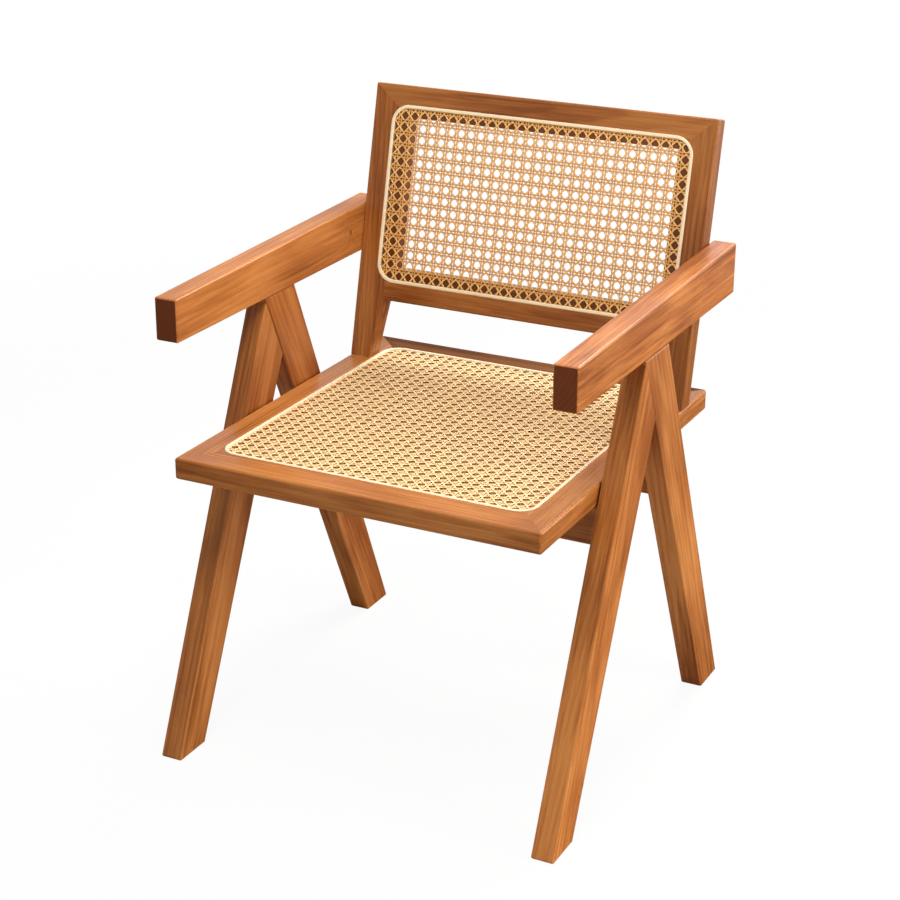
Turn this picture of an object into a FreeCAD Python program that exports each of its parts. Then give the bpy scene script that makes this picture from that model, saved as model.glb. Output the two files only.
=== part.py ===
import FreeCAD, Part
import math
import os
import Sketcher

# Armchair with two A-shaped leg frames, a mitred seat frame and a leaning back frame, both caned.
# X runs across the chair, +Y to its back and +Z up. The origin is on the floor, under the middle.

# Driving sizes in millimetres, angles in degrees
SIZES = [
    # seat frame
    ("seat_width", 494),
    ("seat_depth", 533),
    ("seat_height", 418),
    ("seat_thick", 28),
    ("seat_side_margin", 34),
    ("seat_front_margin", 43),
    ("seat_rear_margin", 37),
    ("seat_ledge", 14),
    ("frame_round", 3.5),
    # board under the seat cane
    ("board_thick", 6),
    ("board_drop", 3),
    ("board_rebate", 8),
    ("board_clearance", 0.3),
    # back frame, measured along its slope
    ("back_setback", 440),
    ("back_height", 377),
    ("back_thick", 27),
    ("back_lean", 13),
    ("back_side_margin", 28),
    ("back_top_margin", 26),
    ("back_bottom_margin", 25),
    ("back_left_ledge", 19),
    ("back_right_ledge", 15),
    ("back_top_ledge", 11),
    ("back_bottom_ledge", 14.6),
    ("upright_shoulder", 7),
    ("back_gap", 82),
    ("upright_foot", 30.5),
    # cane and the spline that holds it
    ("cane_thick", 1.4),
    ("cane_drop", 0.4),
    ("spline_width", 5),
    ("spline_crown", 0.8),
    ("spline_round", 1.6),
    ("spline_kerf", 0.4),
    ("groove_depth", 7),
    ("loop_radius", 26),
    ("back_net_pitch", 18),
    ("seat_net_pitch", 25.5),
    # leg frames
    ("leg_thick", 30),
    ("foot_width", 53.4),
    ("leg_rake", 23.8),
    ("leg_taper", 1.33),
    ("foot_reach", 16.5),
    ("side_gap", 1.5),
    ("tip_gap", 7.5),
    ("edge_round", 2.5),
    # arms
    ("arm_underside", 559),
    ("arm_front_height", 55),
    ("arm_rear_height", 67),
    ("arm_setback", 20),
    ("arm_overhang", 13),
    # crossbars
    ("bar_thick", 30),
    ("bar_height", 52),
    ("bar_inset", 3.9),
    # dowels and screws
    ("dowel_radius", 4),
    ("dowel_length", 32),
    ("peg_radius", 5),
    ("peg_length", 40),
    ("dowel_clearance", 0.1),
    ("dowel_room", 1),
    ("screw_radius", 2.4),
    ("screw_length", 44),
    ("screw_head_radius", 4.5),
    ("screw_head_height", 3.4),
    ("screw_socket_radius", 2),
    ("screw_socket_depth", 1.8),
    ("screw_inset", 32),
    ("screw_well_radius", 5.5),
    ("screw_well_depth", 24),
    # how far cutting shapes run past what they cut
    ("overrun", 10),
]

# Shares
mitre_dowel_shares = (0.46, 0.78)
rail_dowel_shares = (0.28, 0.72)
foot_dowel_shares = (0.3, 0.7)
arm_peg_shares = (0.28, 0.72)
top_peg_shares = (0.34, 0.68)
leg_joint_shares = (0.2, 0.55)
bar_peg_shares = (0.25, 0.75)
core_share = 0.6
joint_overrun_share = 0.1
spline_joint_shares = (0.192, 0.46)
net_hole_share = 0.62
octagon_share = 1 / (2 + math.sqrt(2))

doc = FreeCAD.newDocument("CaneArmchair")
sheet = doc.addObject("Spreadsheet::Sheet", "Sizes")
for row, (alias, size) in enumerate(SIZES, start=1):
    sheet.set(f"A{row}", alias)
    sheet.set(f"B{row}", str(size))
    sheet.setAlias(f"B{row}", alias)
doc.recompute()

# Sizes worked out from the driving ones
groove_width = "(Sizes.spline_width + Sizes.cane_thick)"
side_rail = f"(Sizes.seat_side_margin + {groove_width} + Sizes.seat_ledge)"
front_rail = f"(Sizes.seat_front_margin + {groove_width} + Sizes.seat_ledge)"
rear_rail = f"(Sizes.seat_rear_margin + {groove_width} + Sizes.seat_ledge)"
left_width = f"(Sizes.back_side_margin + {groove_width} + Sizes.back_left_ledge)"
right_width = f"(Sizes.back_side_margin + {groove_width} + Sizes.back_right_ledge)"
rail_joint = f"({right_width} - Sizes.upright_shoulder)"
top_rail = f"(Sizes.back_top_margin + {groove_width} + Sizes.back_top_ledge)"
bottom_rail = f"(Sizes.back_bottom_margin + {groove_width} + Sizes.back_bottom_ledge)"
cane_bed = "(Sizes.cane_drop + Sizes.cane_thick)"
seat_underside = "(Sizes.seat_height - Sizes.seat_thick)"
arm_thick = "(Sizes.leg_thick + Sizes.side_gap)"
bar_length = "(Sizes.seat_width + 2 * Sizes.side_gap)"
outer_slope = "tan(Sizes.leg_rake)"
inner_slope = "tan(Sizes.leg_rake + Sizes.leg_taper)"
foot_spread = f"((Sizes.arm_underside - Sizes.tip_gap) * ({outer_slope} + {inner_slope}))"
foot_depth = "(Sizes.foot_width / cos(Sizes.leg_rake))"
leg_top_depth = f"({foot_depth} + Sizes.arm_underside * ({inner_slope} - {outer_slope}))"
back_reach = (
    "(Sizes.back_setback + Sizes.back_height * sin(Sizes.back_lean)"
    " + Sizes.back_thick * cos(Sizes.back_lean))"
)
seat_front = f"((Sizes.foot_reach - {back_reach}) / 2)"
foot_front = f"({seat_front} - Sizes.foot_reach)"
rear_leg_top = f"({foot_front} + {foot_spread} - Sizes.arm_underside * {inner_slope})"
arm_front = f"({seat_front} + Sizes.arm_setback)"
arm_rear = (
    f"({seat_front} + Sizes.back_setback + Sizes.back_thick / cos(Sizes.back_lean) + Sizes.arm_overhang"
    " + (Sizes.arm_underside + Sizes.arm_rear_height - Sizes.seat_height) * tan(Sizes.back_lean))"
)
arm_length = f"({arm_rear} - {arm_front})"
front_bar = f"({foot_front} + {seat_underside} * {outer_slope} + Sizes.bar_inset)"
rear_bar = (
    f"({foot_front} + {foot_spread} + {foot_depth} - {seat_underside} * {outer_slope}"
    " - Sizes.bar_inset - Sizes.bar_thick)"
)


def number(expression):
    """The value that an expression on the sheet has now."""
    result = sheet.evalExpression(expression)
    return float(getattr(result, "Value", result))


def vector(x, y, z):
    return FreeCAD.Vector(number(x), number(y), number(z))


def place(piece, x, y, z, turn="0"):
    """Bind a piece's place, and its turn about X in degrees."""
    piece.Placement.Rotation = FreeCAD.Rotation(FreeCAD.Vector(1, 0, 0), number(turn))
    piece.setExpression("Placement.Base.x", x)
    piece.setExpression("Placement.Base.y", y)
    piece.setExpression("Placement.Base.z", z)
    return piece


def sketch_on(body, role, height="0"):
    """A sketch on one of the body's own origin planes, raised by a height."""
    sketch = body.newObject("Sketcher::SketchObject", f"{body.Name}_sketch")
    plane = next(feature for feature in body.Origin.OriginFeatures if feature.Role == role)
    sketch.AttachmentSupport = [(plane, "")]
    sketch.MapMode = "FlatFace"
    sketch.setExpression("AttachmentOffset.Base.z", height)
    return sketch


def bind(sketch, kind, geometry, point, expression):
    """Hold a point at a bound distance from the sketch's origin, or on its axis."""
    if expression == "0":
        axis = -2 if kind == "DistanceX" else -1
        sketch.addConstraint(Sketcher.Constraint("PointOnObject", geometry, point, axis))
        return
    constraint = Sketcher.Constraint(kind, -1, 1, geometry, point, number(expression))
    index = sketch.addConstraint(constraint)
    sketch.setExpression(f"Constraints[{index}]", expression)


def polygon(sketch, corners):
    """A closed outline with each corner bound to the sheet."""
    points = [vector(x, y, "0") for x, y in corners]
    first = sketch.GeometryCount
    count = len(points)
    for index, point in enumerate(points):
        sketch.addGeometry(Part.LineSegment(point, points[(index + 1) % count]), False)
    for index in range(count):
        following = first + (index + 1) % count
        sketch.addConstraint(Sketcher.Constraint("Coincident", first + index, 2, following, 1))
    for index, (x, y) in enumerate(corners):
        bind(sketch, "DistanceX", first + index, 1, x)
        bind(sketch, "DistanceY", first + index, 1, y)


def rectangle(sketch, low, high):
    polygon(sketch, [low, (high[0], low[1]), high, (low[0], high[1])])


def rounded(sketch, low, high, radius):
    """A rectangle with round corners, bound to the sheet."""
    start, end, bend = vector(*low, "0"), vector(*high, "0"), number(radius)
    first = sketch.GeometryCount
    corners = [(start.x, start.y), (end.x, start.y), (end.x, end.y), (start.x, end.y)]
    inward = [(1, 1), (-1, 1), (-1, -1), (1, -1)]
    centres = [
        FreeCAD.Vector(x + side_x * bend, y + side_y * bend, 0)
        for (x, y), (side_x, side_y) in zip(corners, inward)
    ]
    offsets = [FreeCAD.Vector(0, -bend, 0), FreeCAD.Vector(bend, 0, 0), FreeCAD.Vector(0, bend, 0)]
    offsets.append(FreeCAD.Vector(-bend, 0, 0))
    for index, offset in enumerate(offsets):
        following = centres[(index + 1) % 4]
        sketch.addGeometry(Part.LineSegment(centres[index] + offset, following + offset), False)
    normal = FreeCAD.Vector(0, 0, 1)
    for index in range(4):
        circle = Part.Circle(centres[index], normal, bend)
        turn = math.pi / 2 * (index + 2)
        sketch.addGeometry(Part.ArcOfCircle(circle, turn, turn + math.pi / 2), False)
    for index in range(4):
        line, arc = first + index, first + 4 + index
        sketch.addConstraint(Sketcher.Constraint("Tangent", arc, 2, line, 1))
        next_arc = first + 4 + (index + 1) % 4
        sketch.addConstraint(Sketcher.Constraint("Tangent", line, 2, next_arc, 1))
        sketch.addConstraint(Sketcher.Constraint(("Horizontal", "Vertical")[index % 2], line))
    for index in range(1, 4):
        sketch.addConstraint(Sketcher.Constraint("Equal", first + 4, first + 4 + index))
    index = sketch.addConstraint(Sketcher.Constraint("Radius", first + 4, bend))
    sketch.setExpression(f"Constraints[{index}]", radius)
    bind(sketch, "DistanceY", first, 1, low[1])
    bind(sketch, "DistanceX", first + 1, 1, high[0])
    bind(sketch, "DistanceY", first + 2, 1, high[1])
    bind(sketch, "DistanceX", first + 3, 1, low[0])


def pad(body, sketch, length, reverse=False):
    feature = body.newObject("PartDesign::Pad", f"{body.Name}_pad")
    feature.Profile = sketch
    feature.setExpression("Length", length)
    feature.Reversed = reverse
    doc.recompute()
    return feature


def pocket(body, sketch, length, reverse=False):
    """Cut a sketch into the body, and check that it took material away."""
    before = body.Shape.Volume
    feature = body.newObject("PartDesign::Pocket", f"{body.Name}_pocket")
    feature.Profile = sketch
    feature.setExpression("Length", length)
    feature.Reversed = reverse
    doc.recompute()
    if not body.Shape.Volume < before:
        raise ValueError(f"{feature.Name} cuts nothing")
    return feature


def soften(body, feature, radius, chosen):
    """Round the chosen edges of a body's last feature."""
    names = [f"Edge{index}" for index, edge in enumerate(feature.Shape.Edges, start=1) if chosen(edge)]
    fillet = body.newObject("PartDesign::Fillet", f"{body.Name}_round")
    fillet.Base = (feature, names)
    fillet.setExpression("Radius", radius)
    doc.recompute()
    return fillet


def near(value, other):
    return math.isclose(value, other, rel_tol=0, abs_tol=Part.Precision.confusion() * 100)


def lies_on(edge, axis, level):
    """True if the whole edge lies in the plane where an axis has one value."""
    box = edge.BoundBox
    return near(getattr(box, f"{axis}Min"), level) and near(getattr(box, f"{axis}Max"), level)


def common(name, base, tool):
    piece = doc.addObject("Part::Common", name)
    piece.Base, piece.Tool = base, tool
    return piece


def without(name, base, tools):
    """A piece less its holes."""
    holes = doc.addObject("Part::Compound", f"{name}_holes")
    holes.Links = tools
    piece = doc.addObject("Part::Cut", name)
    piece.Base, piece.Tool = base, holes
    return piece


def dowels(name, seats, radius, length):
    """Dowels centred on their joints, and the longer, wider holes that they go in."""
    pegs, holes = [], []
    wide = f"{radius} + Sizes.dowel_clearance"
    long = f"{length} + 2 * Sizes.dowel_room"
    for centre, direction in seats:
        turn = FreeCAD.Rotation(FreeCAD.Vector(0, 0, 1), direction)
        for kept, r, h in ((pegs, radius, length), (holes, wide, long)):
            cylinder = doc.addObject("Part::Cylinder", f"{name}_pin")
            start = centre - direction * (number(h) / 2)
            cylinder.Placement = FreeCAD.Placement(start, turn)
            cylinder.setExpression("Radius", r)
            cylinder.setExpression("Height", h)
            kept.append(cylinder)
    group = doc.addObject("Part::Compound", name)
    group.Links = pegs
    return group, holes


def loop_corners(left, bottom, right, top, inset):
    """The low and high corners of a loop that lies an inset inside given margins."""
    low = (f"{left} + {inset}", f"{bottom} + {inset}")
    return low, (f"{right} - {inset}", f"{top} - {inset}")


# Where the groove's outer wall runs on each frame, from the frame's own corner
seat_loop = (
    "Sizes.seat_side_margin",
    "Sizes.seat_front_margin",
    "Sizes.seat_width - Sizes.seat_side_margin",
    "Sizes.seat_depth - Sizes.seat_rear_margin",
)
back_loop = (
    "Sizes.back_side_margin",
    "Sizes.back_gap + Sizes.back_bottom_margin",
    "Sizes.seat_width - Sizes.back_side_margin",
    "Sizes.back_height - Sizes.back_top_margin",
)


def cut_cane_seat(body, loop, face):
    """The spline's groove and the shallow bed that the cane lies in, cut from a frame's face."""
    groove = sketch_on(body, "XY_Plane", face)
    rounded(groove, *loop_corners(*loop, "0"), "Sizes.loop_radius")
    rounded(groove, *loop_corners(*loop, groove_width), f"Sizes.loop_radius - {groove_width}")
    pocket(body, groove, "Sizes.groove_depth")
    bed = sketch_on(body, "XY_Plane", face)
    rounded(bed, *loop_corners(*loop, groove_width), f"Sizes.loop_radius - {groove_width}")
    return pocket(body, bed, cane_bed)


# Seat frame: one ring, cut at the mitres into four rails
def seat_frame_blank():
    body = doc.addObject("PartDesign::Body", "seat_frame_blank")
    ring = sketch_on(body, "XY_Plane")
    rectangle(ring, ("0", "0"), ("Sizes.seat_width", "Sizes.seat_depth"))
    rectangle(
        ring,
        (side_rail, front_rail),
        (f"Sizes.seat_width - {side_rail}", f"Sizes.seat_depth - {rear_rail}"),
    )
    pad(body, ring, "Sizes.seat_thick")
    cut_cane_seat(body, seat_loop, "Sizes.seat_thick")
    rebate = sketch_on(body, "XY_Plane", "Sizes.seat_thick")
    rectangle(
        rebate,
        (f"{side_rail} - Sizes.board_rebate", f"{front_rail} - Sizes.board_rebate"),
        (
            f"Sizes.seat_width - {side_rail} + Sizes.board_rebate",
            f"Sizes.seat_depth - {rear_rail} + Sizes.board_rebate",
        ),
    )
    last = pocket(body, rebate, "Sizes.board_drop + Sizes.board_thick")
    width, depth = number("Sizes.seat_width"), number("Sizes.seat_depth")

    def outside(edge):
        across = lies_on(edge, "X", 0) or lies_on(edge, "X", width)
        return across or lies_on(edge, "Y", 0) or lies_on(edge, "Y", depth)

    soften(body, last, "Sizes.frame_round", outside)
    return place(body, "-Sizes.seat_width / 2", seat_front, seat_underside)


def mitre_region(name, corners, height, turn_place):
    """A prism that holds one member of a frame, from joint line to joint line."""
    body = doc.addObject("PartDesign::Body", name)
    outline = sketch_on(body, "XY_Plane", "-Sizes.overrun")
    polygon(outline, corners)
    pad(body, outline, f"{height} + 2 * Sizes.overrun")
    return place(body, *turn_place)


def along_mitre(outer, inner, share):
    """The point that lies a share of the way from an outer corner to an inner one."""
    return tuple(f"{a} + ({b} - ({a})) * {share}" for a, b in zip(outer, inner))


def seat_rails(blank):
    width, depth = "Sizes.seat_width", "Sizes.seat_depth"
    outer = [("0", "0"), (width, "0"), (width, depth), ("0", depth)]
    inner = [
        (side_rail, front_rail),
        (f"{width} - {side_rail}", front_rail),
        (f"{width} - {side_rail}", f"{depth} - {rear_rail}"),
        (side_rail, f"{depth} - {rear_rail}"),
    ]
    names = ["seat_front_rail", "seat_right_rail", "seat_rear_rail", "seat_left_rail"]
    spot = ("-Sizes.seat_width / 2", seat_front, seat_underside)
    rails = {}
    for index, name in enumerate(names):
        other = (index + 1) % 4
        corners = [
            along_mitre(outer[index], inner[index], -joint_overrun_share),
            along_mitre(outer[other], inner[other], -joint_overrun_share),
            along_mitre(outer[other], inner[other], 1 + joint_overrun_share),
            along_mitre(outer[index], inner[index], 1 + joint_overrun_share),
        ]
        region = mitre_region(f"{name}_region", corners, "Sizes.seat_thick", spot)
        rails[name] = common(f"{name}_blank", blank, region)
    return rails, list(zip(outer, inner))


def mitre_seats(pairs, to_place):
    """Centres and directions of the dowels that cross each mitre at right angles."""
    seats = []
    for outer, inner in pairs:
        start = to_place(number(outer[0]), number(outer[1]))
        run = to_place(number(inner[0]), number(inner[1])) - start
        ahead = to_place(number(inner[0]), number(outer[1])) - start
        across = run.cross(ahead).cross(run).normalize()
        seats += [(start + run * share, across) for share in mitre_dowel_shares]
    return seats


def on_seat(x, y):
    """A point in the seat rails' core, from its place on the seat frame."""
    height = f"Sizes.seat_height - Sizes.seat_thick * {core_share}"
    corner = vector("-Sizes.seat_width / 2", seat_front, height)
    return corner + FreeCAD.Vector(x, y, 0)


def on_back(x, rise, depth):
    """A point of the back frame, from its place across, up the slope and behind the face."""
    lean = math.radians(number("Sizes.back_lean"))
    corner = vector("-Sizes.seat_width / 2", f"{seat_front} + Sizes.back_setback", "Sizes.seat_height")
    up = FreeCAD.Vector(0, math.sin(lean), math.cos(lean))
    behind = FreeCAD.Vector(0, math.cos(lean), -math.sin(lean))
    return corner + FreeCAD.Vector(x, 0, 0) + up * rise + behind * depth


# Back frame: one blank in the plane of its slope, its face at local height zero
back_spot = (
    "-Sizes.seat_width / 2",
    f"{seat_front} + Sizes.back_setback",
    "Sizes.seat_height",
    "90 - Sizes.back_lean",
)


def back_frame_blank():
    body = doc.addObject("PartDesign::Body", "back_frame_blank")
    width, height = "Sizes.seat_width", "Sizes.back_height"
    outline = sketch_on(body, "XY_Plane")
    polygon(
        outline,
        [
            ("0", "0"),
            ("Sizes.upright_foot", "0"),
            (rail_joint, "Sizes.back_gap"),
            (f"{width} - {rail_joint}", "Sizes.back_gap"),
            (f"{width} - Sizes.upright_foot", "0"),
            (width, "0"),
            (width, height),
            ("0", height),
        ],
    )
    rectangle(
        outline,
        (left_width, f"Sizes.back_gap + {bottom_rail}"),
        (f"{width} - {right_width}", f"{height} - {top_rail}"),
    )
    pad(body, outline, "Sizes.back_thick", reverse=True)
    cut_cane_seat(body, back_loop, "0")
    foot = sketch_on(body, "YZ_Plane")
    past_back = "(Sizes.back_thick + Sizes.overrun)"
    polygon(
        foot,
        [
            ("0", "0"),
            (f"{past_back} * tan(Sizes.back_lean)", f"-{past_back}"),
            ("-Sizes.overrun", f"-{past_back}"),
            ("-Sizes.overrun", "0"),
        ],
    )
    last = pocket(body, foot, "Sizes.seat_width", reverse=True)
    wide, tall, deep = number(width), number(height), -number("Sizes.back_thick")
    rail_top = number("Sizes.back_gap")

    def outside(edge):
        skin = lies_on(edge, "X", 0) or lies_on(edge, "X", wide) or lies_on(edge, "Y", tall)
        under = lies_on(edge, "Y", rail_top)
        long_edge = edge.Length > number("Sizes.back_thick") * 2
        slanted = edge.BoundBox.YMax <= rail_top and edge.BoundBox.XLength > 0 and not under
        face = lies_on(edge, "Z", 0) or lies_on(edge, "Z", deep)
        corner = near(edge.BoundBox.YMin, tall)
        return (skin and (long_edge or corner)) or (face and (under or (slanted and long_edge)))

    soften(body, last, "Sizes.edge_round", outside)
    return place(body, *back_spot)


def back_members(blank):
    width, height = "Sizes.seat_width", "Sizes.back_height"
    outer = [("0", height), (width, height)]
    inner = [
        (left_width, f"{height} - {top_rail}"),
        (f"{width} - {right_width}", f"{height} - {top_rail}"),
    ]
    past = [along_mitre(a, b, -joint_overrun_share) for a, b in zip(outer, inner)]
    inside = [along_mitre(a, b, 1 + joint_overrun_share) for a, b in zip(outer, inner)]
    low, left, right = "-Sizes.overrun", past[0][0], past[1][0]
    joints = [rail_joint, f"{width} - {rail_joint}"]
    rail_foot = "Sizes.back_gap - Sizes.overrun"
    rail_head = f"Sizes.back_gap + {bottom_rail}"
    regions = {
        "back_top_rail": [past[0], past[1], inside[1], inside[0]],
        "back_bottom_rail": [
            (joints[0], rail_foot),
            (joints[1], rail_foot),
            (joints[1], rail_head),
            (joints[0], rail_head),
        ],
        "left_upright": [
            (left, low),
            (joints[0], low),
            (joints[0], rail_head),
            (inner[0][0], rail_head),
            inner[0],
            past[0],
        ],
        "right_upright": [
            (joints[1], low),
            (right, low),
            past[1],
            inner[1],
            (inner[1][0], rail_head),
            (joints[1], rail_head),
        ],
    }
    members = {}
    for name, corners in regions.items():
        region = doc.addObject("PartDesign::Body", f"{name}_region")
        outline = sketch_on(region, "XY_Plane", "Sizes.overrun")
        polygon(outline, corners)
        pad(region, outline, "Sizes.back_thick + 2 * Sizes.overrun", reverse=True)
        place(region, *back_spot)
        members[name] = common(f"{name}_blank", blank, region)
    return members, list(zip(outer, inner))


# Spline: a crowned strip pressed into the groove beside the cane's turned-down edge
def spline(name, loop, spot, joints):
    body = doc.addObject("PartDesign::Body", f"{name}_strip")
    ring = sketch_on(body, "XY_Plane", "-Sizes.groove_depth")
    rounded(ring, *loop_corners(*loop, "0"), "Sizes.loop_radius")
    rounded(ring, *loop_corners(*loop, "Sizes.spline_width"), "Sizes.loop_radius - Sizes.spline_width")
    strip = pad(body, ring, "Sizes.groove_depth + Sizes.spline_crown")
    crown = number("Sizes.spline_crown")
    soften(body, strip, "Sizes.spline_round", lambda edge: lies_on(edge, "Z", crown))
    place(body, *spot)
    kerfs = []
    for x, y in joints:
        kerf = doc.addObject("PartDesign::Body", f"{name}_kerf")
        slit = sketch_on(kerf, "XY_Plane", "-Sizes.groove_depth - Sizes.overrun")
        high = (f"{x} + Sizes.spline_kerf", f"{y} + Sizes.spline_width + 2 * Sizes.overrun")
        rectangle(slit, (x, y), high)
        pad(kerf, slit, "Sizes.groove_depth + 2 * Sizes.overrun")
        kerfs.append(place(kerf, *spot))
    return without(name, body, kerfs)


# Cane: a holed sheet whose edge turns down into the groove
def cane(name, loop, pitch, spot):
    thick, depth = number("Sizes.cane_thick"), number("Sizes.groove_depth")
    bend = number("Sizes.loop_radius - Sizes.spline_width")
    top = number("-Sizes.cane_drop")
    low, high = loop_corners(*loop, "Sizes.spline_width")
    start, end = vector(*low, "0"), vector(*high, "0")
    down = FreeCAD.Vector(0, 0, -1)

    def edge_loop(inset, level):
        """The sheet's outline, moved in by an inset and drawn at a level."""
        corner = start + FreeCAD.Vector(inset, inset, level)
        block = Part.makeBox(end.x - start.x - 2 * inset, end.y - start.y - 2 * inset, thick, corner)
        upright = [edge for edge in block.Edges if near(edge.BoundBox.ZLength, thick)]
        block = block.makeFillet(bend - inset, upright)
        return min(block.Faces, key=lambda face: face.CenterOfMass.z).OuterWire

    across, along = end.x - start.x - 2 * thick, end.y - start.y - 2 * thick
    columns, rows = int(across // pitch), int(along // pitch)
    half, flat = pitch * net_hole_share / 2, pitch * net_hole_share * octagon_share
    side = half - flat
    ring = [(-side, -half), (side, -half), (half, -side), (half, side)]
    ring += [(-x, -y) for x, y in ring]
    middle = (start + end) / 2

    def gaps(level):
        """The holes' outlines at a level."""
        wires = []
        for row in range(rows):
            for column in range(columns):
                x = (column - (columns - 1) / 2) * pitch
                y = (row - (rows - 1) / 2) * pitch
                points = [middle + FreeCAD.Vector(x + px, y + py, level) for px, py in ring]
                wires.append(Part.makePolygon(points + points[:1]))
        return wires

    maker = "Part::FaceMakerBullseye"
    outer, inner = edge_loop(0, top), edge_loop(thick, top - thick)
    faces = [Part.makeFace([outer, *gaps(top)], maker), Part.makeFace([inner, *gaps(top - thick)], maker)]
    faces.append(Part.makeFace([edge_loop(0, -depth), edge_loop(thick, -depth)], maker))
    for wire, reach in [(outer, depth + top), (inner, depth + top - thick)]:
        faces += wire.extrude(down * reach).Faces
    for wire in gaps(top):
        faces += wire.extrude(down * thick).Faces
    skin = Part.makeCompound(faces)
    skin.sewShape()
    sheet_solid = Part.makeSolid(skin.Shells[0])
    sheet_solid.fixTolerance(Part.Precision.confusion())
    if sheet_solid.Volume < 0:
        sheet_solid.reverse()
    piece = doc.addObject("Part::Feature", name)
    piece.Shape = sheet_solid
    return place(piece, *spot)


# Board under the seat cane, dropped into its rebate
def seat_board():
    body = doc.addObject("PartDesign::Body", "seat_board")
    outline = sketch_on(body, "XY_Plane")
    inset = "- Sizes.board_rebate + Sizes.board_clearance"
    across = f"Sizes.seat_width - 2 * ({side_rail} {inset})"
    along = f"Sizes.seat_depth - {front_rail} - {rear_rail} - 2 * ({inset})"
    rectangle(outline, ("0", "0"), (across, along))
    pad(body, outline, "Sizes.board_thick")
    return place(
        body,
        f"-Sizes.seat_width / 2 + {side_rail} {inset}",
        f"{seat_front} + {front_rail} {inset}",
        "Sizes.seat_height - Sizes.board_drop - Sizes.board_thick",
    )


def side_bar(name, corners, thick, x, y, z, eased):
    """A straight member drawn from the side, eased all round both sides and at its free ends."""
    body = doc.addObject("PartDesign::Body", f"{name}_blank")
    outline = sketch_on(body, "YZ_Plane")
    polygon(outline, corners)
    blank = pad(body, outline, thick)
    soften(body, blank, "Sizes.edge_round", lambda edge: near(edge.BoundBox.XLength, 0) or eased(edge))
    return place(body, x, y, z)


def at_floor(edge):
    return near(edge.BoundBox.ZMax, 0)


# Leg frames: the legs widen upward, the rear one runs up to the arm, and the front one butts on its front face
fork = f"(({foot_spread} - {foot_depth}) / {inner_slope} / 2)"
tip = "(Sizes.arm_underside - Sizes.tip_gap)"


def front_leg(name, x):
    corners = [
        ("0", "0"),
        (foot_depth, "0"),
        (f"{foot_depth} + {fork} * {inner_slope}", fork),
        (f"{tip} * {outer_slope}", tip),
    ]
    return side_bar(name, corners, "Sizes.leg_thick", x, foot_front, "0", at_floor)


def rear_leg(name, x):
    lean = f"Sizes.arm_underside * {inner_slope}"
    corners = [
        (lean, "0"),
        (f"{lean} + {foot_depth}", "0"),
        (leg_top_depth, "Sizes.arm_underside"),
        ("0", "Sizes.arm_underside"),
    ]
    return side_bar(name, corners, "Sizes.leg_thick", x, rear_leg_top, "0", at_floor)


def arm(name, x):
    corners = [
        ("0", "0"),
        (arm_length, "0"),
        (arm_length, "Sizes.arm_rear_height"),
        ("0", "Sizes.arm_front_height"),
    ]
    return side_bar(name, corners, arm_thick, x, arm_front, "Sizes.arm_underside", lambda edge: True)


def crossbar(name, y):
    body = doc.addObject("PartDesign::Body", f"{name}_blank")
    outline = sketch_on(body, "YZ_Plane")
    rectangle(outline, ("0", "0"), ("Sizes.bar_thick", "Sizes.bar_height"))
    blank = pad(body, outline, bar_length)
    length = number(bar_length)
    soften(body, blank, "Sizes.edge_round", lambda edge: near(edge.BoundBox.XLength, length))
    return place(body, f"-{bar_length} / 2", y, f"{seat_underside} - Sizes.bar_height")


# Screws that draw the seat frame down on the crossbars, each up a well in the bar's underside
def turned(name, outline, spot):
    """A round solid from its half section, as a revolved body."""
    body = doc.addObject("PartDesign::Body", name)
    half = sketch_on(body, "XZ_Plane")
    polygon(half, outline)
    feature = body.newObject("PartDesign::Revolution", f"{body.Name}_turn")
    feature.Profile = half
    feature.ReferenceAxis = (half, ["V_Axis"])
    feature.Angle = 360
    doc.recompute()
    return place(body, *spot)


def seat_screws():
    """The four screws, and the wells and holes that they need."""
    shank_top = "Sizes.screw_length"
    cone = "Sizes.screw_length - 2 * Sizes.screw_radius"
    seat_of_head = f"{seat_underside} - Sizes.bar_height + Sizes.screw_well_depth"
    screw = [
        ("0", "-Sizes.screw_head_height + Sizes.screw_socket_depth"),
        ("Sizes.screw_socket_radius", "-Sizes.screw_head_height + Sizes.screw_socket_depth"),
        ("Sizes.screw_socket_radius", "-Sizes.screw_head_height"),
        ("Sizes.screw_head_radius", "-Sizes.screw_head_height"),
        ("Sizes.screw_head_radius", "0"),
        ("Sizes.screw_radius", "0"),
        ("Sizes.screw_radius", cone),
        ("0", shank_top),
    ]
    wide = "Sizes.screw_radius + Sizes.dowel_clearance"
    hole_top = f"{shank_top} + Sizes.dowel_room"
    well = [
        ("0", "-Sizes.screw_well_depth - Sizes.overrun"),
        ("Sizes.screw_well_radius", "-Sizes.screw_well_depth - Sizes.overrun"),
        ("Sizes.screw_well_radius", "0"),
        (wide, "0"),
        (wide, hole_top),
        ("0", hole_top),
    ]
    screws, wells = [], {}
    for bar, y in (("front_crossbar", front_bar), ("rear_crossbar", rear_bar)):
        for side, sign in (("left", "-"), ("right", "")):
            x = f"{sign}(Sizes.seat_width / 2 - Sizes.screw_inset)"
            spot = (x, f"{y} + Sizes.bar_thick / 2", seat_of_head)
            screws.append(turned(f"{side}_{bar}_screw", screw, spot))
            wells[bar, side] = turned(f"{side}_{bar}_well", well, spot)
    group = doc.addObject("Part::Compound", "seat_screws")
    group.Links = screws
    return group, wells


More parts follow.
